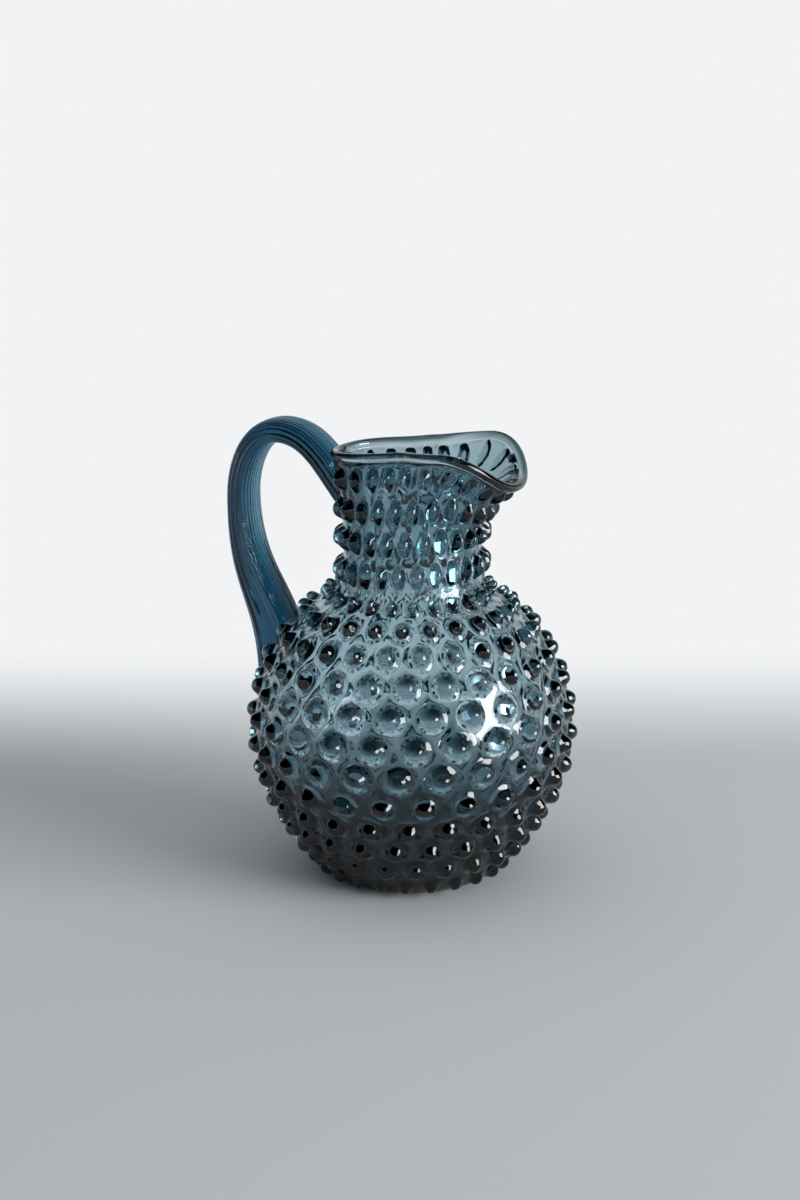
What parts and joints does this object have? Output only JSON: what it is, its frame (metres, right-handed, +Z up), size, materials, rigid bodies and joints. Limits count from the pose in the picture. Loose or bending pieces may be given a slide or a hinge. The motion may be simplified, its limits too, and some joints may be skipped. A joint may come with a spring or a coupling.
{
  "type": "hobnail glass pitcher",
  "caption": "Round-bellied blown glass pitcher covered in hobnails, with a pinched pouring lip and an applied reeded strap handle, for serving cold drinks.",
  "frame": {"origin": "centre of the flat base, on the surface that the pitcher stands on", "axes": "+Z up along the vessel's axis, +X towards the pouring lip, the handle towards -X"},
  "size_m": [0.1824, 0.1684, 0.2272],
  "materials": {
    "vessel_glass": "fire-polished",
    "handle_glass": "fire-polished, reeded"
  },
  "bodies": {
    "root": {"vessel": "vessel_glass", "handle": "handle_glass"}
  },
  "joints": []
}
